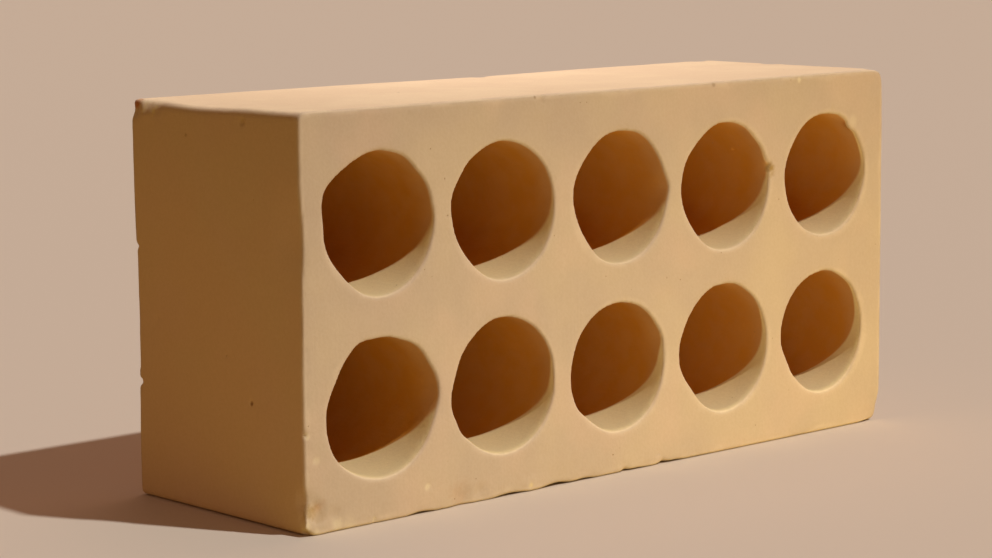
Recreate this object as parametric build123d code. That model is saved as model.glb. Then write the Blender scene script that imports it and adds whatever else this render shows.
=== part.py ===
from build123d import *
import os

# A perforated clay brick, pressed through a die as an endless column and cut off by wires.
# It stands on one long narrow side, as it is stacked: X is its length, Y runs from one
# cut bed face to the other along the holes, and Z is its width. The origin is at the
# middle of the side it stands on.

# driving sizes, in millimetres: a die maker sets the cores and the clay left round them
hole_diameter = 36.0
hole_columns = 5
hole_rows = 2
column_web = 6.35  # clay between two holes along the length
row_web = 10.2  # clay between the two rows
end_shell = 7.3  # clay between the end holes and the header faces
side_shell = 11.4  # clay between a row and its stretcher face
thickness = 70.0  # from wire to wire, along the holes
die_corner_radius = 2.0  # the four long corners, rounded by the die
cut_arris_radius = 0.8  # the edges that the wires leave round the bed faces

# the format that the cores, webs and shells add up to: 220 long and 105 wide
length = 2 * end_shell + hole_columns * hole_diameter + (hole_columns - 1) * column_web
width = 2 * side_shell + hole_rows * hole_diameter + (hole_rows - 1) * row_web


def die_opening():
    """The bed face's outline less its cores, drawn in the plane of the cut."""
    column_pitch = hole_diameter + column_web
    row_pitch = hole_diameter + row_web
    with BuildSketch(Plane.XZ) as opening:
        RectangleRounded(length, width, die_corner_radius)
        with GridLocations(column_pitch, row_pitch, hole_columns, hole_rows):
            Circle(hole_diameter / 2, mode=Mode.SUBTRACT)
    return opening.sketch


def brick():
    """The column's section, one thickness long, with its wire-cut outer arrises eased."""
    with BuildPart() as column:
        extrude(die_opening(), amount=thickness / 2, both=True)
        bed_faces = column.faces().filter_by(Axis.Y)
        arrises = [edge for face in bed_faces for edge in face.outer_wire().edges()]
        fillet(arrises, radius=cut_arris_radius)
    return column.part.moved(Location((0, 0, width / 2)))


os.makedirs("parts", exist_ok=True)
export_step(brick(), "parts/brick.step")
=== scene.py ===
import bmesh
import bpy
import math
from mathutils import Matrix, Vector, kdtree


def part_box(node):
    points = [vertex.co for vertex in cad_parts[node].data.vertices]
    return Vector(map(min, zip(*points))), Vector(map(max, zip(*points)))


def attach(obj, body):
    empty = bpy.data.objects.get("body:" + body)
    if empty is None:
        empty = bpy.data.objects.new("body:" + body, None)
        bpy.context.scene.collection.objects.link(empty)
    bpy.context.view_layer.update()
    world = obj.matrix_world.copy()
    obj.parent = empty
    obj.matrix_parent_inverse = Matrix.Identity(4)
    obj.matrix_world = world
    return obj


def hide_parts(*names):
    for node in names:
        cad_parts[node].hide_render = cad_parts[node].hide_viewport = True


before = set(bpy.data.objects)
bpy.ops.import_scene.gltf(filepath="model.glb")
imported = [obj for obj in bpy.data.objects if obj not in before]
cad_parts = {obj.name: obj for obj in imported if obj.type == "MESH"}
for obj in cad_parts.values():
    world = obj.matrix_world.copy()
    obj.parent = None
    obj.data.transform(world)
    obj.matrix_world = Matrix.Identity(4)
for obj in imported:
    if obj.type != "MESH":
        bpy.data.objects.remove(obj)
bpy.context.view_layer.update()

mm = 0.001
lowCorner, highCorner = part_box("brick")
print("frame loaded, brick", [round(v, 4) for v in (highCorner - lowCorner)])


def clearSelection():
    if bpy.context.mode != "OBJECT":
        bpy.ops.object.mode_set(mode="OBJECT")
    bpy.ops.object.select_all(action="DESELECT")
    bpy.context.view_layer.objects.active = None


def pickObject(piece):
    clearSelection()
    piece.select_set(True)
    bpy.context.view_layer.objects.active = piece


def enterEdit(piece, mode="VERT"):
    pickObject(piece)
    bpy.ops.object.mode_set(mode="EDIT")
    bpy.ops.mesh.select_mode(type=mode)
    bpy.ops.mesh.select_all(action="DESELECT")
    return bmesh.from_edit_mesh(piece.data)


def leaveEdit():
    bpy.ops.object.mode_set(mode="OBJECT")


def applyPlace(piece):
    pickObject(piece)
    bpy.ops.object.transform_apply(location=True, rotation=True, scale=True)


# adds a modifier with its settings and applies it
def finishWith(piece, name, kind, **settings):
    modifier = piece.modifiers.new(name, kind)
    for setting, value in settings.items():
        setattr(modifier, setting, value)
    pickObject(piece)
    bpy.ops.object.modifier_apply(modifier=name)


# pulls are ((x, y, z), (dx, dy, dz), reach), all in millimetres, each from the piece's nearest point
def pullSpots(piece, pulls, falloff="SMOOTH"):
    edit = enterEdit(piece)
    edit.verts.ensure_lookup_table()
    tree = kdtree.KDTree(len(edit.verts))
    for vert in edit.verts:
        tree.insert(vert.co, vert.index)
    tree.balance()
    for place, move, reach in pulls:
        bpy.ops.mesh.select_all(action="DESELECT")
        near = tree.find(Vector(place) * mm)[1]
        edit.verts[near].select_set(True)
        edit.select_flush(True)
        bpy.ops.transform.translate(value=Vector(move) * mm, use_proportional_edit=True,
                                    proportional_edit_falloff=falloff, proportional_size=reach * mm)
        edit = bmesh.from_edit_mesh(piece.data)
        edit.verts.ensure_lookup_table()
    leaveEdit()


# adds a shader node; a value that is another node's socket is linked
def addNode(tree, kind, values=None, **options):
    node = tree.nodes.new(kind)
    for option, value in options.items():
        setattr(node, option, value)
    for socket, value in (values or {}).items():
        if isinstance(value, bpy.types.NodeSocket):
            tree.links.new(value, node.inputs[socket])
        else:
            node.inputs[socket].default_value = value
    return node


def calc(tree, operation, *values):
    return addNode(tree, "ShaderNodeMath", dict(enumerate(values)), operation=operation).outputs[0]


def ramp(tree, value, low, high, toLow=0.0, toHigh=1.0):
    return addNode(tree, "ShaderNodeMapRange", {0: value, 1: low, 2: high, 3: toLow, 4: toHigh},
                   interpolation_type="SMOOTHSTEP").outputs[0]


def blendColor(tree, share, first, second):
    colors = [c if isinstance(c, bpy.types.NodeSocket) else (*c, 1) for c in (first, second)]
    values = {0: share, 6: colors[0], 7: colors[1]}
    return addNode(tree, "ShaderNodeMix", values, data_type="RGBA").outputs[2]


def newGroup(name, inputs, outputs):
    group = bpy.data.node_groups.new(name, "ShaderNodeTree")
    for side, sockets in (("INPUT", inputs), ("OUTPUT", outputs)):
        for socketName, kind in sockets.items():
            group.interface.new_socket(name=socketName, in_out=side, socket_type="NodeSocket" + kind)
    return group, group.nodes.new("NodeGroupInput").outputs, group.nodes.new("NodeGroupOutput").inputs


cameraSettings = {
    "place": (-0.52057, -0.55299, 0.15595),
    "turn": 42.509,  # degrees from +Y toward +X
    "dip": 7.933,
    "roll": -0.497,
    "lens": 99.32,
    "sensor": 36.0,
    "nearest": 0.02,
}

camData = bpy.data.cameras.new("photoCamera")
camData.lens = cameraSettings["lens"]
camData.sensor_width = cameraSettings["sensor"]
camData.clip_start = cameraSettings["nearest"]
camera = bpy.data.objects.new("photoCamera", camData)
bpy.context.scene.collection.objects.link(camera)
camera.matrix_world = (
    Matrix.Translation(cameraSettings["place"])
    @ Matrix.Rotation(math.radians(-cameraSettings["turn"]), 4, "Z")
    @ Matrix.Rotation(math.radians(90 - cameraSettings["dip"]), 4, "X")
    @ Matrix.Rotation(math.radians(cameraSettings["roll"]), 4, "Z")
)
bpy.context.scene.camera = camera
bpy.context.scene.view_settings.view_transform = "Standard"
print("camera placed")


# far lamps: the angle is how wide each looks, in degrees
farLamps = {
    "keyLight": {"toward": (0.506, -1.0, 1.47), "strength": 1.79, "angle": 1.8, "color": (1.0, 1.0, 0.98)},
    "topLight": {"toward": (0.36, 0.15, 0.86), "strength": 0.34, "angle": 34.0, "color": (1.0, 0.50, 0.30)},
}

# small lamps near the brick, each facing its aim
softLamps = {
    "sideLight": {"place": (0.13, -0.19, 0.014), "aim": (0.075, -0.035, 0.03), "power": 0.105,
                  "size": (0.12, 0.03), "color": (1.0, 0.72, 0.10)},
    "lowLight": {"place": (0.0, -0.20, 0.012), "aim": (0.0, 0.0, 0.03), "power": 0.215,
                 "size": (0.30, 0.03), "color": (1.0, 0.96, 0.76)},
    "footLight": {"place": (-0.25, 0.0, 0.008), "aim": (-0.11, 0.0, 0.025), "power": 0.033,
                  "size": (0.12, 0.03), "color": (1.0, 0.54, 0.20)},
    "highLight": {"place": (0.03, 0.10, 0.26), "aim": (0.03, 0.0, 0.10), "power": 0.20,
                  "size": (0.16, 0.12), "color": (1.0, 0.84, 0.85)},
}

# they light the brick alone, so that they leave no bright patch on the floor
litPieces = bpy.data.collections.new("litPieces")


def hangLamp(name, lamp, place, toward):
    holder = bpy.data.objects.new(name, lamp)
    holder.location = place
    holder.rotation_euler = toward.to_track_quat("Z", "Y").to_euler()
    bpy.context.scene.collection.objects.link(holder)
    return holder


def farLamp(name, toward, strength, angle, color):
    lamp = bpy.data.lights.new(name, "SUN")
    lamp.energy = strength
    lamp.angle = math.radians(angle)
    lamp.color = color
    hangLamp(name, lamp, toward, Vector(toward))


def softLamp(name, place, aim, power, size, color):
    lamp = bpy.data.lights.new(name, "AREA")
    lamp.energy = power
    lamp.shape = "RECTANGLE"
    lamp.size, lamp.size_y = size
    lamp.color = color
    holder = hangLamp(name, lamp, place, Vector(place) - Vector(aim))
    holder.visible_camera = False
    holder.light_linking.receiver_collection = litPieces


for lampName, lampSettings in farLamps.items():
    farLamp(lampName, **lampSettings)
for lampName, lampSettings in softLamps.items():
    softLamp(lampName, **lampSettings)


worldSettings = {
    "fillColor": (1.0, 0.55, 0.38),
    "fillStrength": 0.13,
    "backColor": (0.60, 0.46, 0.33),
    "backStrength": 1.0,
}

floorSettings = {
    "size": 14.0,
    "color": (0.80, 0.70, 0.58),
    "bounce": (0.53, 0.385, 0.09),  # what the brick gets back from the floor
    "roughness": 0.9,
    "specular": 0.2,
}


# one for a ray that comes from the camera, a mirror or glass
def cameraOrGlass(tree):
    path = addNode(tree, "ShaderNodeLightPath").outputs
    direct = calc(tree, "MAXIMUM", path["Is Camera Ray"], path["Is Glossy Ray"])
    return calc(tree, "MAXIMUM", direct, path["Is Transmission Ray"])


def background(tree, color, strength):
    return addNode(tree, "ShaderNodeBackground", {"Color": (*color, 1), "Strength": strength}).outputs[0]


world = bpy.data.worlds.new("studio")
bpy.context.scene.world = world
world.use_nodes = True
worldTree = world.node_tree
worldTree.nodes.clear()
fillLight = background(worldTree, worldSettings["fillColor"], worldSettings["fillStrength"])
seenBack = background(worldTree, worldSettings["backColor"], worldSettings["backStrength"])
seen = cameraOrGlass(worldTree)
worldMix = addNode(worldTree, "ShaderNodeMixShader", {0: seen, 1: fillLight, 2: seenBack})
addNode(worldTree, "ShaderNodeOutputWorld", {"Surface": worldMix.outputs[0]})

clearSelection()
bpy.ops.mesh.primitive_plane_add(size=floorSettings["size"], location=(0, 0, 0))
floor = bpy.context.object
floor.name = "floor"
floorMat = bpy.data.materials.new("paleFloor")
floorMat.use_nodes = True
floorTree = floorMat.node_tree
floorShader = floorTree.nodes["Principled BSDF"]
floorShader.inputs["Roughness"].default_value = floorSettings["roughness"]
floorShader.inputs["Specular IOR Level"].default_value = floorSettings["specular"]
floorColor = blendColor(floorTree, cameraOrGlass(floorTree), floorSettings["bounce"], floorSettings["color"])
floorTree.links.new(floorColor, floorShader.inputs["Base Color"])
floor.data.materials.append(floorMat)
print("light and floor made")


# sizes in millimetres
brickSettings = {
    "allowance": 0.05,  # how much smaller the blank is on every side, for the relief to fill
    "cuts": 22,
    "dieRadius": 2.0,  # the four corners that the die rounded, which run along Y
    "dieSegments": 4,
    "foldAngle": 1.0,  # radians; the faces at an arris meet at more than this
    "alongY": 0.99,
    "arrisWidth": 0.3,
    "arrisSegments": 2,
    "arrisAngle": 60,  # degrees; only edges that are sharper are eased
    "holeRadius": 17.75,
    "columnCount": 5,
    "columnPitch": 42.35,
    "rowPitch": 46.2,
    "voxel": 0.55,
    "softening": (0.5, 2),  # how far the skin is smoothed, and how often
    "triangles": 188000,
}

blankSize = [round(side / mm - 2 * brickSettings["allowance"], 3) for side in highCorner - lowCorner]
midColumn = (brickSettings["columnCount"] - 1) / 2
columns = [(i - midColumn) * brickSettings["columnPitch"] for i in range(brickSettings["columnCount"])]
midHeight = round((lowCorner.z + highCorner.z) / 2 / mm, 3)
rows = {
    "lower": midHeight - brickSettings["rowPitch"] / 2,
    "upper": midHeight + brickSettings["rowPitch"] / 2,
}

# how the blank bowed and slumped while it was soft: place, move, reach
blankPulls = [
    ((-110, 35, 50), (0.75, 0, 0), 42),
    ((-110, -35, 72), (0.95, 0, 0), 15),
    ((-110, -35, 54), (0.3, 0, 0), 16),
    ((-110, 6, 105), (0, 0, -0.5), 22),
    ((15, -35, 105), (0, 0, -0.2), 50),
    ((110, -35, 105), (-0.5, 0.3, -0.5), 7),
    ((110, -35, 0), (-1.6, 0.5, 0.5), 10),
    ((110, 35, 0), (-0.9, -0.4, 0.4), 9),
    ((110, 35, 50), (-0.5, 0, 0), 35),
    ((0, 35, 105), (0, 0, -0.3), 60),
    ((40, 35, 0), (0, -0.2, 0.4), 18),
]


# whether an edge is an arris that runs along Y
def isDieCorner(edge):
    if edge.calc_length() == 0 or len(edge.link_faces) != 2:
        return False
    way = (edge.verts[1].co - edge.verts[0].co).normalized()
    return edge.calc_face_angle() > brickSettings["foldAngle"] and abs(way.y) > brickSettings["alongY"]


blankMiddle = blankSize[2] / 2 + brickSettings["allowance"]
clearSelection()
bpy.ops.mesh.primitive_cube_add(size=1, location=(0, 0, blankMiddle * mm), scale=Vector(blankSize) * mm)
brick = bpy.context.object
brick.name = "firedBrick"
brick.data.name = "firedBrick"
litPieces.objects.link(brick)
applyPlace(brick)
enterEdit(brick)
bpy.ops.mesh.select_all(action="SELECT")
bpy.ops.mesh.subdivide(number_cuts=brickSettings["cuts"])
leaveEdit()
edit = enterEdit(brick, "EDGE")
for edge in edit.edges:
    if isDieCorner(edge):
        edge.select_set(True)
bpy.ops.mesh.bevel(offset=brickSettings["dieRadius"] * mm, segments=brickSettings["dieSegments"])
leaveEdit()
pullSpots(brick, blankPulls)
finishWith(brick, "easing", "BEVEL", width=brickSettings["arrisWidth"] * mm,
           segments=brickSettings["arrisSegments"], limit_method="ANGLE",
           angle_limit=math.radians(brickSettings["arrisAngle"]))
print("blank shaped", len(brick.data.polygons))


# each mouth as the wire left it: the whole mouth is moved and grown, then places on its rim are pulled
# out or in (angle, outward, reach); angles in degrees from +X toward +Z, sizes in millimetres
mouths = {
    ("upper", 0): {
        "swells": [(90, 0.8, 17), (150, 2.0, 9), (62, 0.4, 6), (130, 0.4, 6), (224, -1.1, 13), (0, 0.3, 6),
                   (28, 0.3, 7)]},
    ("upper", 1): {
        "swells": [(95, 0.4, 15), (165, 0.8, 8), (135, 0.4, 7), (222, -0.9, 13), (32, 0.3, 12)]},
    ("upper", 2): {
        "move": (0.4, 0.25),
        "swells": [(3, 0.9, 6), (65, 0.4, 8), (135, -0.6, 10), (190, -0.3, 8), (215, -1.3, 13)]},
    ("upper", 3): {
        "move": (-0.35, 0.0),
        "swells": [(130, -0.6, 10), (218, -0.8, 12), (10, 0.3, 5), (50, -0.3, 5)]},
    ("upper", 4): {
        "move": (-0.5, 0.25), "grow": -0.4,
        "swells": [(218, -0.3, 12), (145, -0.6, 12), (70, 0.4, 5), (5, 0.5, 9), (190, -0.3, 6)]},
    ("lower", 0): {
        "swells": [(14, 1.3, 12), (0, 0.3, 6), (49, 0.8, 7), (112, 0.6, 5), (150, -1.0, 10),
                   (214, 0.7, 12)]},
    ("lower", 1): {
        "move": (-0.1, 0.2),
        "swells": [(100, 0.5, 12), (145, 0.2, 7), (188, 1.1, 10), (216, 0.6, 5), (5, -0.3, 7)]},
    ("lower", 2): {
        "move": (-0.55, 0.0), "grow": -0.25,
        "swells": [(193, 0.5, 10), (20, 0.5, 6), (60, 0.3, 9), (212, 0.3, 5), (232, -0.5, 8),
                   (32, 0.3, 8)]},
    ("lower", 3): {
        "move": (-0.75, 0.2),
        "swells": [(75, 0.6, 7), (105, 0.6, 11), (176, 0.5, 8), (210, -0.6, 8), (226, -1.0, 11),
                   (48, 0.4, 8)]},
    ("lower", 4): {
        "move": (-1.3, 0.25), "grow": -0.2,
        "swells": [(45, 0.2, 8), (84, 0.3, 7), (200, -0.9, 7), (224, -1.0, 11)]},
}

coreSettings = {
    "sides": 112,
    "halfLength": 46.0,
    "face": 34.9,  # the mouth's ring lies just outside this depth
    # where a core is cut into rings, closer together near its mouths
    "rings": (-35.2, -34.7, -34.1, -32.9, -31.0, -28.5, -25.0, -20.0, -13.0, 0.0,
              13.0, 20.0, 25.0, 28.5, 31.0, 32.9, 34.1, 34.7, 35.2),
    "flare": ((35.2, 0.30), (34.7, 0.16), (34.1, 0.07)),  # how far the mouth opens from one ring to the next
    "moveReach": 30,
    "slack": 0.05,  # a ring this far short of a depth is still picked
}


# picks the rings of one end, from a depth outward
def pickEnd(core, depth, side):
    bpy.ops.mesh.select_all(action="DESELECT")
    edit = bmesh.from_edit_mesh(core.data)
    for vert in edit.verts:
        vert.select_set(vert.co.y * side > (depth - coreSettings["slack"]) * mm)
    edit.select_flush(True)


def makeCore(rowName, column, mouth):
    radius = brickSettings["holeRadius"]
    face = coreSettings["face"]
    middle = Vector((columns[column], 0, rows[rowName]))
    clearSelection()
    bpy.ops.mesh.primitive_cylinder_add(vertices=coreSettings["sides"], radius=radius * mm,
                                        depth=2 * coreSettings["halfLength"] * mm, location=middle * mm,
                                        rotation=(math.radians(90), 0, 0))
    core = bpy.context.object
    core.name = "core_" + rowName + "_" + str(column)
    applyPlace(core)
    enterEdit(core)
    for ring in coreSettings["rings"]:
        bpy.ops.mesh.select_all(action="SELECT")
        bpy.ops.mesh.bisect(plane_co=(0, ring * mm, 0), plane_no=(0, 1, 0))
    # the mouth as a whole, fading into the round bore
    moveX, moveZ = mouth.get("move", (0, 0))
    grow = 1 + mouth.get("grow", 0) / radius
    reach = coreSettings["moveReach"] * mm
    pickEnd(core, face, -1)
    pivot = (middle.x * mm, -face * mm, middle.z * mm)
    bpy.ops.transform.resize(value=(grow, 1, grow), center_override=pivot, use_proportional_edit=True,
                             proportional_size=reach)
    bpy.ops.transform.translate(value=(moveX * mm, 0, moveZ * mm), use_proportional_edit=True,
                                proportional_size=reach)
    leaveEdit()
    pulls = []
    for angle, outward, spread in mouth["swells"]:
        way = Vector((math.cos(math.radians(angle)), 0, math.sin(math.radians(angle))))
        pulls.append((middle + way * radius + Vector((0, -face, 0)), way * outward, spread))
    pullSpots(core, pulls)
    enterEdit(core)
    for side in (-1, 1):  # opened about the top of the rim, so most at the bottom
        pivot = (middle.x * mm, side * face * mm, (middle.z + radius) * mm)
        for depth, opening in coreSettings["flare"]:
            pickEnd(core, depth, side)
            wider = 1 + opening / radius
            bpy.ops.transform.resize(value=(wider, 1, wider), center_override=pivot)
    leaveEdit()
    return core


cores = [makeCore(rowName, column, mouth) for (rowName, column), mouth in mouths.items()]
clearSelection()
for core in cores:
    core.select_set(True)
bpy.context.view_layer.objects.active = cores[0]
bpy.ops.object.join()
corePack = bpy.context.object
finishWith(brick, "boring", "BOOLEAN", operation="DIFFERENCE", solver="EXACT", object=corePack)
pickObject(corePack)
bpy.ops.object.delete()
print("holes bored", len(brick.data.polygons))

finishWith(brick, "skin", "REMESH", mode="VOXEL", voxel_size=brickSettings["voxel"] * mm)
factor, iterations = brickSettings["softening"]
finishWith(brick, "soften", "SMOOTH", factor=factor, iterations=iterations)
print("skin made", len(brick.data.polygons))

# what happened to the clay after the cut: place, move, reach, falloff
knocks = [
    ((-106.2, -35, 5.6), (0.1, 0.9, 0), 4.2, "SMOOTH"),  # a thumb's dent, with the burr that it pushed down
    ((-110, -35, 8.4), (0.85, 0.5, 0), 5.0, "SMOOTH"),
    ((-101, -35, 4.2), (0, 0.4, 0), 3.4, "SMOOTH"),
    ((-110, -35, 2.8), (-0.6, -0.3, 0), 2.4, "SPHERE"),
    ((-110, -35, 0), (0.8, 0.4, 0.7), 2.4, "SMOOTH"),
    ((-110, -33.6, 3.4), (0.8, 0.2, 0), 2.2, "SMOOTH"),
    ((-105, -35, 0.8), (0, -0.3, 0), 3.0, "SMOOTH"),
    ((-87.7, -35, 1.0), (0, 0.5, 0.3), 1.6, "SHARP"),  # the lower arris
    ((-72, -35, 0), (0, 0.1, 0.45), 6, "SMOOTH"),
    ((-58, -35, 1.6), (0, 0.7, 0.1), 5.5, "SMOOTH"),
    ((-52, -35, 2.4), (0, 0.4, 0), 3.5, "SMOOTH"),
    ((-41, -35, 0), (0, 0.1, 0.5), 8, "SMOOTH"),
    ((-33.8, -35, 1.7), (0, -0.35, 0), 2.2, "SPHERE"),
    ((-24, -35, 0), (0, 0.2, 0.65), 8, "SMOOTH"),
    ((-14, -35, 0), (0, 0, 0.4), 6, "SMOOTH"),
    ((1.8, -35, 0), (0, 0.3, 0.8), 3, "SHARP"),
    ((6, -35, 0), (0, 0, 0.25), 5, "SMOOTH"),
    ((17, -35, 0), (0, 0.3, 0.8), 3.5, "SHARP"),
    ((21, -35, 0), (0, 0, 0.3), 6, "SMOOTH"),
    ((-110, 34, 102.5), (1.0, -0.4, -0.2), 3.6, "SMOOTH"),  # the torn corner, and the flap beside it
    ((-109.8, 30, 104.6), (0.7, 0, -0.2), 4.4, "SMOOTH"),
    ((-109.8, 27.5, 104.6), (0.6, 0, -0.2), 4.4, "SMOOTH"),
    ((-109.8, 24, 104.6), (0.7, 0, -0.2), 4.2, "SMOOTH"),
    ((-110, 28, 100.2), (-0.3, 0, 0.1), 3.2, "SMOOTH"),
    ((-110, 35, 30.6), (1.0, -1.0, 0), 1.7, "SHARP"),  # nicks in the upright arrises
    ((-110, 35, 66), (0.5, -0.5, 0), 1.6, "SHARP"),
    ((-110, -35, 25.3), (0.5, 0.5, 0), 1.5, "SHARP"),
    ((-107, -35, 18.9), (0, 0.2, 0), 1.4, "SMOOTH"),
    ((-110, -3.9, 41.9), (0.35, 0, 0), 1.1, "SHARP"),  # pits in the end
    ((-110, -13.9, 30.9), (0.6, 0, 0), 1.3, "SHARP"),
    ((-110, 26, 48.3), (0.4, 0, 0), 1.2, "SHARP"),
    ((-110, -12.5, 101.5), (0.4, 0, 0), 1.6, "SMOOTH"),
    ((60.0, -34.7, 79.8), (0.9, 0.5, 0), 2.4, "SHARP"),  # chips in two rims, the first with its crumb
    ((61.6, -35, 77.4), (-0.1, 0.3, 0), 1.6, "SMOOTH"),
    ((96.2, -35, 89.2), (-0.65, 0, -0.55), 3.2, "SMOOTH"),
    ((-29, -35, 104.2), (0, 0.3, -0.2), 2.0, "SMOOTH"),  # the upper arris
    ((36.8, -35, 104), (0, 0.3, 0), 1.0, "SHARP"),
    ((-70, -35, 6.6), (0, 0.15, 0), 2.0, "SMOOTH"),
    ((104, 35, 104), (0, -0.5, -0.4), 5, "SMOOTH"),  # the back, which the photo leaves to the maker
    ((-60, 35, 0), (0, -0.3, 0.6), 6, "SMOOTH"),
    ((12, 35, 105), (0, -0.3, -0.4), 4, "SMOOTH"),
    ((110, 8, 105), (-0.3, 0, -0.4), 5, "SMOOTH"),
]
for falloff in ("SMOOTH", "SPHERE", "SHARP"):
    pullSpots(brick, [knock[:3] for knock in knocks if knock[3] == falloff], falloff)
print("knocks made")

# waves in the skin, each with its grain and height in millimetres
reliefSettings = {
    "waves": {"warp": (45, 0.20), "ripple": (7, 0.12), "tooth": (1.6, 0.06)},
    "detail": 2,
    "middle": 0.5,  # as much outward as inward
}
for waveName, (grainSize, tall) in reliefSettings["waves"].items():
    texture = bpy.data.textures.new(waveName, "CLOUDS")
    texture.noise_scale = grainSize * mm
    texture.noise_depth = reliefSettings["detail"]
    finishWith(brick, waveName, "DISPLACE", texture=texture, texture_coords="LOCAL", strength=tall * mm,
               mid_level=reliefSettings["middle"])
trianglesNow = 2 * len(brick.data.polygons)
finishWith(brick, "thin", "DECIMATE", ratio=min(1.0, brickSettings["triangles"] / trianglesNow))
print("relief laid on, triangles", len(brick.data.polygons))


# presses flat whatever stands beyond a face of the CAD box, so that the piece keeps to that box
def fitToCad(piece):
    edit = enterEdit(piece)
    for axis in range(3):
        for side, face in ((-1, lowCorner[axis]), (1, highCorner[axis])):
            bpy.ops.mesh.select_all(action="DESELECT")
            proud = [v for v in edit.verts if (v.co[axis] - face) * side > 0]
            print("proud of face", axis, side, len(proud),
                  round(max([(v.co[axis] - face) * side for v in proud], default=0) / mm, 3))
            for vert in proud:
                vert.select_set(True)
            edit.select_flush(True)
            flat, level = [1, 1, 1], [0, 0, 0]
            flat[axis], level[axis] = 0, face
            bpy.ops.transform.resize(value=flat, center_override=level)
    leaveEdit()


fitToCad(brick)
pickObject(brick)
bpy.ops.object.shade_smooth()


# the colours are the clay's own under white light, except where painted shade and painted light are noted; a
# cover is the share of it that a colour hides
claySettings = {
    "skin": (0.625, 0.436, 0.285),  # the faces that the die pressed; warmer than the cut faces, partly the skin's own tone and partly painted warm shade for the shaded end
    "cut": (0.522, 0.389, 0.283),  # the faces that the wire cut
    "straw": (0.610, 0.462, 0.296),
    "rose": (0.625, 0.435, 0.316),
    "boreShadeFirst": (0.545, 0.232, 0.027),  # painted shade: the bores darkened and reddened, from the first column to the last
    "boreShadeLast": (0.595, 0.250, 0.030),
    # partly dust, partly painted light: up-facing clay is paler, as if more lit from above
    "dustAndTopLight": (0.935, 0.765, 0.495),
    "paintedLitPatch": (0.870, 0.720, 0.400),  # painted light: the pale patch in the mouths where the key lamp's light falls
    "pale": (0.690, 0.530, 0.380),
    "iron": (0.420, 0.165, 0.070),
    "pore": (0.300, 0.160, 0.065),
    "cloudCover": 0.4,
    "paintedLitPatchCover": 0.9,
    "mottleCover": 0.07,
    "grainCover": 0.055,
    "ironCover": 0.6,
    "poreCover": 0.5,
    "dustAndTopLightCover": (0.73, 0.85),  # on plain clay, and on straw clouds
    "dustAndTopLightFacing": (0.3, 0.85),  # dust and painted top light lie on what faces up this far
    "wearAndHighlightCover": (0.15, 0.6),
    "rimWearAndHighlight": 0.6,  # a rim gets less of the pale wear and painted highlight than an arris
    "ragged": (0.7, 0.3),  # how much of a mark's edge follows the mottle and the grain
    "roughness": (0.82, 0.94),
    "specular": 0.06,
}

# the clouds in the clay, in millimetres; the shift, in metres, keeps one layer from following another
cloudLayers = {
    "straw": {"shift": (0.0, 0.0, 0.0), "Size": 34.0, "Low": 0.40, "High": 0.66},
    "rose": {"shift": (0.4, 0.1, 0.2), "Size": 23.8, "Low": 0.46, "High": 0.70},
    "mottle": {"shift": (0.1, 0.5, 0.3), "Size": 6.0, "Low": 0.30, "High": 0.70},
    "grain": {"shift": (0.0, 0.0, 0.0), "Size": 0.8, "Low": 0.25, "High": 0.75},
}

# the specks in the clay, in millimetres: a share of the cells holds one each
spotLayers = {
    "pores": {"shift": (0.0, 0.0, 0.0), "Spacing": 7.0, "Share": 0.14, "Radius": 0.55},
    "finePores": {"shift": (0.2, 0.2, 0.1), "Spacing": 2.4, "Share": 0.08, "Radius": 0.28},
    "ironSpots": {"shift": (0.3, 0.6, 0.2), "Spacing": 21.0, "Share": 0.08, "Radius": 0.8},
}

# how far each layer stands out or goes in, in millimetres
reliefHeights = {"grain": 0.016, "streaks": 0.010, "mottle": 0.03, "pores": -0.25, "finePores": -0.10}

# the marks that handling left, with some painted highlight and painted shade among them, each kind with its
# colour: place, radius, strength
handMarks = {
    "rust": ((0.48, 0.17, 0.065), [
        ((-109.4, 33.3, 103.8), 2.9, 1.0), ((-59, -35, 2.6), 4.6, 0.1), ((-105.0, -35, 7.4), 2.2, 0.1)]),
    # the first two straw marks, on the flap by the torn corner, are partly painted highlight where the flap
    # catches the light
    "straw": ((0.78, 0.60, 0.27), [
        ((-109.4, 29.8, 102.4), 3.0, 0.7), ((-109.4, 25.4, 102.4), 3.6, 0.9),
        ((-33.8, -35, 1.7), 2.0, 0.5)]),
    "cream": ((0.82, 0.68, 0.44), [
        ((-109.8, -34.4, 2.8), 2.6, 0.5), ((-106.5, -35, 0.6), 2.4, 0.4), ((-100, -35, 1.4), 3.6, 0.35),
        ((-109.3, -35, 25.3), 1.3, 0.5), ((-106.4, -35, 18.9), 1.6, 0.3), ((-70, -35, 6.8), 1.6, 0.4),
        ((-96, -35, 0.8), 4.5, 0.3), ((96.4, -35, 90.4), 2.2, 0.2), ((72.5, -35, 103.6), 1.2, 0.5),
        ((-87.7, -35, 1.0), 1.4, 0.4)]),
    # the first two of these marks, in the thumb's dent, are painted shade; the rest are stains
    "stainAndDentShade": ((0.38, 0.235, 0.085), [
        ((-108.2, -35, 6.2), 3.2, 0.7), ((-105.4, -35, 4.6), 2.8, 0.25), ((-29, -35, 103.6), 3.2, 0.18),
        ((60.5, -35, 79.4), 2.5, 1.0), ((61.2, -35, 77.2), 2.1, 0.5), ((-110, -12.5, 101.6), 1.9, 0.3),
        ((-33, -35, 0.6), 2.4, 0.15)]),
    "pit": ((0.22, 0.105, 0.04), [
        ((-110, -13.9, 30.9), 0.9, 0.8), ((-110, -3.9, 41.9), 0.7, 0.6), ((-110, 26, 48.3), 0.8, 0.5),
        ((36.8, -35, 104), 1.0, 0.35), ((-31.4, -35, 104.3), 0.8, 0.6), ((-110, 11, 97), 0.8, 0.4),
        ((18, -35, 52), 0.5, 0.4)]),
}


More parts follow.
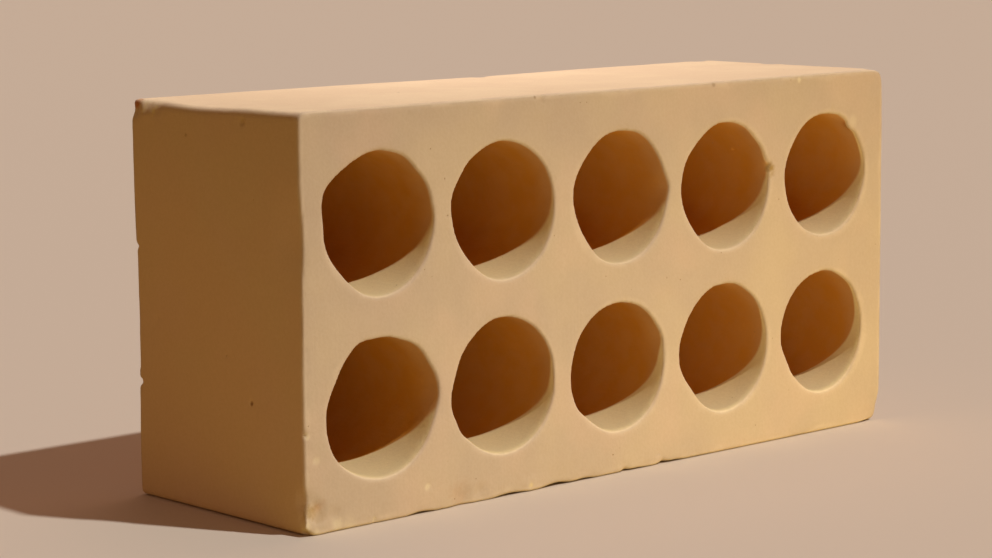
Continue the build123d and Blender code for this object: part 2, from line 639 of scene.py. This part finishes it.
# soft clouds of one size
def makeClouds():
    inputs = {"Vector": "Vector", "Size": "Float", "Low": "Float", "High": "Float"}
    group, given, made = newGroup("clayClouds", inputs, {"Mask": "Float"})
    density = calc(group, "DIVIDE", 1 / mm, given["Size"])
    noise = addNode(group, "ShaderNodeTexNoise", {
        "Vector": given["Vector"], "Scale": density, "Detail": 2.0, "Roughness": 0.5})
    group.links.new(ramp(group, noise.outputs[0], given["Low"], given["High"]), made["Mask"])
    return group


spotSettings = {
    "smallest": 0.35,  # of the full radius
    "ragged": 0.5,
    "edge": (1.25, 0.7),  # in radii, from where a spot ends to where it is full
}


# scattered spots: a share of the cells of a given spacing holds one spot each, of its own size
def makeSpots():
    inputs = {"Vector": "Vector", "Spacing": "Float", "Share": "Float", "Radius": "Float", "Ragged": "Float"}
    group, given, made = newGroup("scatteredSpots", inputs, {"Mask": "Float"})
    density = calc(group, "DIVIDE", 1 / mm, given["Spacing"])
    cells = addNode(group, "ShaderNodeTexVoronoi", {"Vector": given["Vector"], "Scale": density})
    hue = addNode(group, "ShaderNodeSeparateColor", {0: cells.outputs["Color"]})
    chosen = calc(group, "LESS_THAN", hue.outputs[0], given["Share"])
    away = calc(group, "MULTIPLY", cells.outputs["Distance"], given["Spacing"])
    size = ramp(group, hue.outputs[1], 0.0, 1.0, spotSettings["smallest"], 1.0)
    reach = calc(group, "MULTIPLY", given["Radius"], size)
    edge = calc(group, "ADD", calc(group, "DIVIDE", away, reach),
                calc(group, "MULTIPLY", given["Ragged"], spotSettings["ragged"]))
    group.links.new(calc(group, "MULTIPLY", ramp(group, edge, *spotSettings["edge"]), chosen), made["Mask"])
    return group


markSettings = {
    "ragged": 0.8,
    "edge": (1.3, 0.5),  # in radii, from where a mark ends to where it is full
}


# one spot at a given place, with a ragged edge
def makeMark():
    inputs = {"Vector": "Vector", "Middle": "Vector", "Radius": "Float", "Ragged": "Float",
              "Strength": "Float"}
    group, given, made = newGroup("handMark", inputs, {"Mask": "Float"})
    away = addNode(group, "ShaderNodeVectorMath", {0: given["Vector"], 1: given["Middle"]},
                   operation="DISTANCE").outputs["Value"]
    edge = calc(group, "ADD", calc(group, "DIVIDE", away, given["Radius"]),
                calc(group, "MULTIPLY", given["Ragged"], markSettings["ragged"]))
    group.links.new(calc(group, "MULTIPLY", ramp(group, edge, *markSettings["edge"]), given["Strength"]),
                    made["Mask"])
    return group


def longSide(tree, across, up):
    return calc(tree, "SQRT", calc(tree, "ADD", calc(tree, "MULTIPLY", across, across),
                                   calc(tree, "MULTIPLY", up, up)))


# where each mask of makePlaces begins and where it is full, in millimetres
fades = {
    "arris": (1.8, 0.3),  # from the nearest arris
    "ring": (2.0, 0.2),  # from the round of a hole
    "rimDepth": (1.6, 0.2),
    "fromEnd": (2.5, 5),  # the painted shade of the bores keeps this far from the ends and the long sides
    "fromSide": (5, 8),
    "mouth": (0.3, 1.1),  # a bore takes most of its painted shade in the mouth, and the rest further in
    "throat": (0.5, 9),
    "paintedLitPatch": (19.0, 18.2),  # painted light: from the middle of a hole, where the key lamp's lit patch in a mouth ends
    "bed": (1.2, 0.5),
}
boreShadeShares = {"mouth": 0.72, "throat": 0.28}


# where the brick's arrises, hole rims, bores with their painted shade, the painted lit patch in their mouths
# and the bed faces are, from its own sizes
def makePlaces():
    group, given, made = newGroup("brickPlaces", {"Vector": "Vector"}, {
        "Arris": "Float", "Rim": "Float", "BoreShade": "Float", "PaintedLitPatch": "Float", "Bed": "Float"})

    def fade(value, name, full=1.0):
        begin, end = fades[name]
        return ramp(group, value, begin * mm, end * mm, 0.0, full)

    axes = addNode(group, "ShaderNodeSeparateXYZ", {0: given["Vector"]}).outputs
    half = [(highCorner[i] - lowCorner[i]) / 2 for i in range(3)]
    ways = (axes[0], axes[1], calc(group, "SUBTRACT", axes[2], half[2]))
    deep = [calc(group, "SUBTRACT", half[i], calc(group, "ABSOLUTE", way)) for i, way in enumerate(ways)]
    # the second smallest of the three depths is the distance from the nearest arris
    low = calc(group, "MINIMUM", deep[0], deep[1])
    high = calc(group, "MAXIMUM", deep[0], deep[1])
    second = calc(group, "MAXIMUM", low, calc(group, "MINIMUM", high, deep[2]))
    group.links.new(fade(second, "arris"), made["Arris"])
    # a point's place across its own cell of the grid, with the hole in the middle of the cell
    halfPitchX = brickSettings["columnPitch"] / 2 * mm
    halfPitchZ = brickSettings["rowPitch"] / 2 * mm
    acrossX = calc(group, "WRAP", axes[0], halfPitchX, -halfPitchX)
    overRow = calc(group, "SUBTRACT", axes[2], rows["lower"] * mm)
    acrossZ = calc(group, "WRAP", overRow, halfPitchZ, -halfPitchZ)
    fromRound = calc(group, "SUBTRACT", longSide(group, acrossX, acrossZ), brickSettings["holeRadius"] * mm)
    ring = calc(group, "ABSOLUTE", fromRound)
    group.links.new(calc(group, "MULTIPLY", fade(ring, "ring"), fade(deep[1], "rimDepth")), made["Rim"])
    aside = calc(group, "MULTIPLY", fade(deep[0], "fromEnd"), fade(deep[2], "fromSide"))
    inside = calc(group, "ADD", fade(deep[1], "mouth", boreShadeShares["mouth"]),
                  fade(deep[1], "throat", boreShadeShares["throat"]))
    group.links.new(calc(group, "MULTIPLY", inside, aside), made["BoreShade"])
    # painted light: a pale patch in each mouth, as deep as the key lamp's slanting light reaches
    toX, toY, toZ = farLamps["keyLight"]["toward"]
    slidX = calc(group, "ADD", acrossX, calc(group, "MULTIPLY", deep[1], -toX / toY))
    slidZ = calc(group, "ADD", acrossZ, calc(group, "MULTIPLY", deep[1], -toZ / toY))
    keyLightReached = fade(longSide(group, slidX, slidZ), "paintedLitPatch")
    entered = calc(group, "MULTIPLY", fade(deep[1], "mouth"), aside)
    group.links.new(calc(group, "MULTIPLY", keyLightReached, entered), made["PaintedLitPatch"])
    group.links.new(fade(deep[1], "bed"), made["Bed"])
    return group


streakSettings = {
    "size": 1.2,
    "wire": (1.0, 1.0, 0.05),  # the streaks run along the axis with the low number
    "die": (1.0, 0.06, 1.0),
    "edge": (0.3, 0.7),
}


# fine streaks that run up the wire-cut faces and along the die-pressed ones
def makeStreaks():
    group, given, made = newGroup("dragStreaks", {"Vector": "Vector", "Size": "Float", "Bed": "Float"},
                                  {"Height": "Float"})
    stretched = {}
    for maker in ("wire", "die"):
        values = {0: given["Vector"], 1: streakSettings[maker]}
        stretched[maker] = addNode(group, "ShaderNodeVectorMath", values, operation="MULTIPLY").outputs[0]
    values = {0: given["Bed"], 4: stretched["die"], 5: stretched["wire"]}
    along = addNode(group, "ShaderNodeMix", values, data_type="VECTOR").outputs[1]
    density = calc(group, "DIVIDE", 1 / mm, given["Size"])
    noise = addNode(group, "ShaderNodeTexNoise", {"Vector": along, "Scale": density, "Detail": 1.0})
    group.links.new(ramp(group, noise.outputs[0], *streakSettings["edge"]), made["Height"])
    return group


clouds, spots, mark, places, streaks = makeClouds(), makeSpots(), makeMark(), makePlaces(), makeStreaks()

clay = bpy.data.materials.new("firedClay")
clay.use_nodes = True
clayTree = clay.node_tree
shader = clayTree.nodes["Principled BSDF"]
coordinates = addNode(clayTree, "ShaderNodeTexCoord").outputs
here = coordinates["Object"]


def useGroup(group, **values):
    return addNode(clayTree, "ShaderNodeGroup", values, node_tree=group).outputs


# a group's mask, with its pattern shifted
def layerMask(group, shift, **values):
    moved = addNode(clayTree, "ShaderNodeVectorMath", {0: here, 1: shift}, operation="ADD").outputs[0]
    return useGroup(group, Vector=moved, **values)[0]


# lays a colour over what is there, as far as the mask and the cover go
def tinted(color, mask, cover, tint):
    return blendColor(clayTree, calc(clayTree, "MULTIPLY", mask, cover), color, claySettings[tint])


where = useGroup(places, Vector=here)
layers = {name: layerMask(clouds, **values) for name, values in cloudLayers.items()}
for name, values in spotLayers.items():
    layers[name] = layerMask(spots, Ragged=layers["grain"], **values)
layers["streaks"] = useGroup(streaks, Vector=here, Size=streakSettings["size"], Bed=where["Bed"])[0]

# the die-pressed faces are warmer, partly painted warm shade
color = blendColor(clayTree, where["Bed"], claySettings["skin"], claySettings["cut"])
color = tinted(color, layers["straw"], claySettings["cloudCover"], "straw")
color = tinted(color, layers["rose"], claySettings["cloudCover"], "rose")

alongBrick = addNode(clayTree, "ShaderNodeSeparateXYZ", {0: here}).outputs[0]
boreShadeColor = blendColor(clayTree, ramp(clayTree, alongBrick, columns[0] * mm, columns[-1] * mm),
                       claySettings["boreShadeFirst"], claySettings["boreShadeLast"])
# painted shade: the bores take a dark, reddened colour
color = blendColor(clayTree, where["BoreShade"], color, boreShadeColor)

# partly dust, partly painted light: what faces up outside the bores is paler
facing = addNode(clayTree, "ShaderNodeSeparateXYZ", {0: coordinates["Normal"]}).outputs[2]
dustAndTopLit = calc(clayTree, "MULTIPLY", ramp(clayTree, facing, *claySettings["dustAndTopLightFacing"]),
             calc(clayTree, "SUBTRACT", 1.0, where["BoreShade"]))
dustAndTopLightCover = ramp(clayTree, layers["straw"], 0.0, 1.0, *claySettings["dustAndTopLightCover"])
color = tinted(color, dustAndTopLit, dustAndTopLightCover, "dustAndTopLight")
# painted light: the lit patch in each mouth is paler
color = tinted(color, where["PaintedLitPatch"], claySettings["paintedLitPatchCover"], "paintedLitPatch")
color = tinted(color, layers["mottle"], claySettings["mottleCover"], "pale")
darkGrain = ramp(clayTree, layers["grain"], 0.0, 1.0, claySettings["grainCover"], 0.0)
color = blendColor(clayTree, darkGrain, color, claySettings["pore"])

# partly wear, partly painted highlight: arrises and hole rims are paler
rimWearAndHighlight = calc(clayTree, "MULTIPLY", where["Rim"], claySettings["rimWearAndHighlight"])
wearAndHighlight = calc(clayTree, "MAXIMUM", where["Arris"], rimWearAndHighlight)
wearAndHighlightCover = ramp(clayTree, layers["mottle"], 0.0, 1.0, *claySettings["wearAndHighlightCover"])
color = tinted(color, wearAndHighlight, wearAndHighlightCover, "pale")
color = tinted(color, layers["ironSpots"], claySettings["ironCover"], "iron")
allPores = calc(clayTree, "MAXIMUM", layers["pores"], layers["finePores"])
color = tinted(color, allPores, claySettings["poreCover"], "pore")

mottleShare, grainShare = claySettings["ragged"]
ragged = calc(clayTree, "ADD", calc(clayTree, "MULTIPLY", layers["mottle"], mottleShare),
              calc(clayTree, "MULTIPLY", layers["grain"], grainShare))
for markColor, markPlaces in handMarks.values():
    mask = None
    for middle, radius, strength in markPlaces:
        one = useGroup(mark, Vector=here, Middle=Vector(middle) * mm, Radius=radius * mm, Ragged=ragged,
                       Strength=strength)[0]
        mask = one if mask is None else calc(clayTree, "MAXIMUM", mask, one)
    color = blendColor(clayTree, mask, color, markColor)
clayTree.links.new(color, shader.inputs["Base Color"])

roughness = ramp(clayTree, layers["mottle"], 0.0, 1.0, *claySettings["roughness"])
clayTree.links.new(roughness, shader.inputs["Roughness"])
shader.inputs["Specular IOR Level"].default_value = claySettings["specular"]

height = None
for layer, tall in reliefHeights.items():
    one = calc(clayTree, "MULTIPLY", layers[layer], tall)
    height = one if height is None else calc(clayTree, "ADD", height, one)
bump = addNode(clayTree, "ShaderNodeBump", {"Height": height, "Strength": 1.0, "Distance": mm})
clayTree.links.new(bump.outputs[0], shader.inputs["Normal"])

brick.data.materials.clear()
brick.data.materials.append(clay)

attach(brick, "root")
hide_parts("brick")
print("clay laid on")
